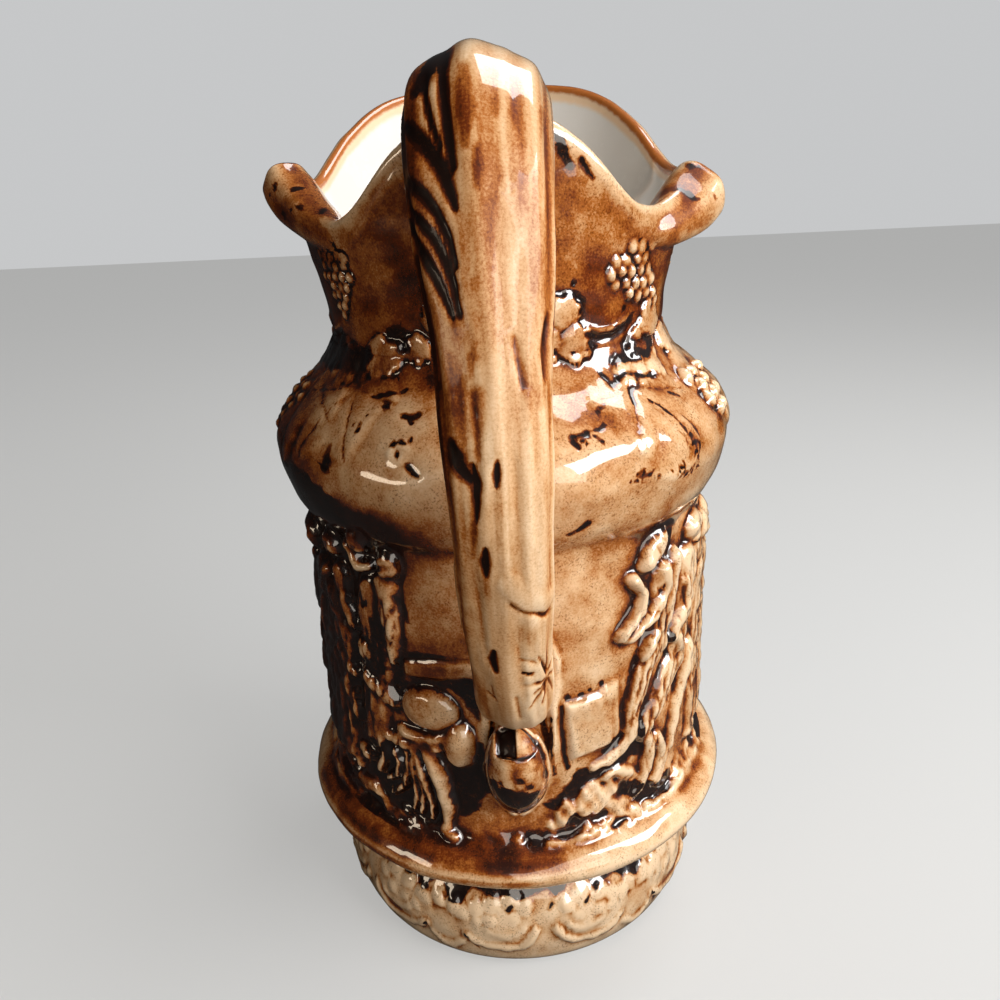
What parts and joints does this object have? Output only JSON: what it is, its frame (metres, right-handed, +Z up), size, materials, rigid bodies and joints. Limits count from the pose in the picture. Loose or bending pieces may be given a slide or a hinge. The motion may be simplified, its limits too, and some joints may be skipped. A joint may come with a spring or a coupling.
{
  "type": "majolica relief pitcher",
  "caption": "Tall glazed earthenware pouring jug with a high spout, a bark-textured vine-trunk handle, and figures, vine leaves and grapes in relief.",
  "frame": {"origin": "middle of the flat underside of the foot, on the vessel's axis", "axes": "+Z up along the vessel's axis, +Y towards the spout, -Y towards the handle, +X to the right as seen from the handle"},
  "size_m": [0.1473, 0.1871, 0.275],
  "materials": {
    "brown_glaze": "glossy"
  },
  "bodies": {
    "root": {"pitcher": "brown_glaze"}
  },
  "joints": []
}
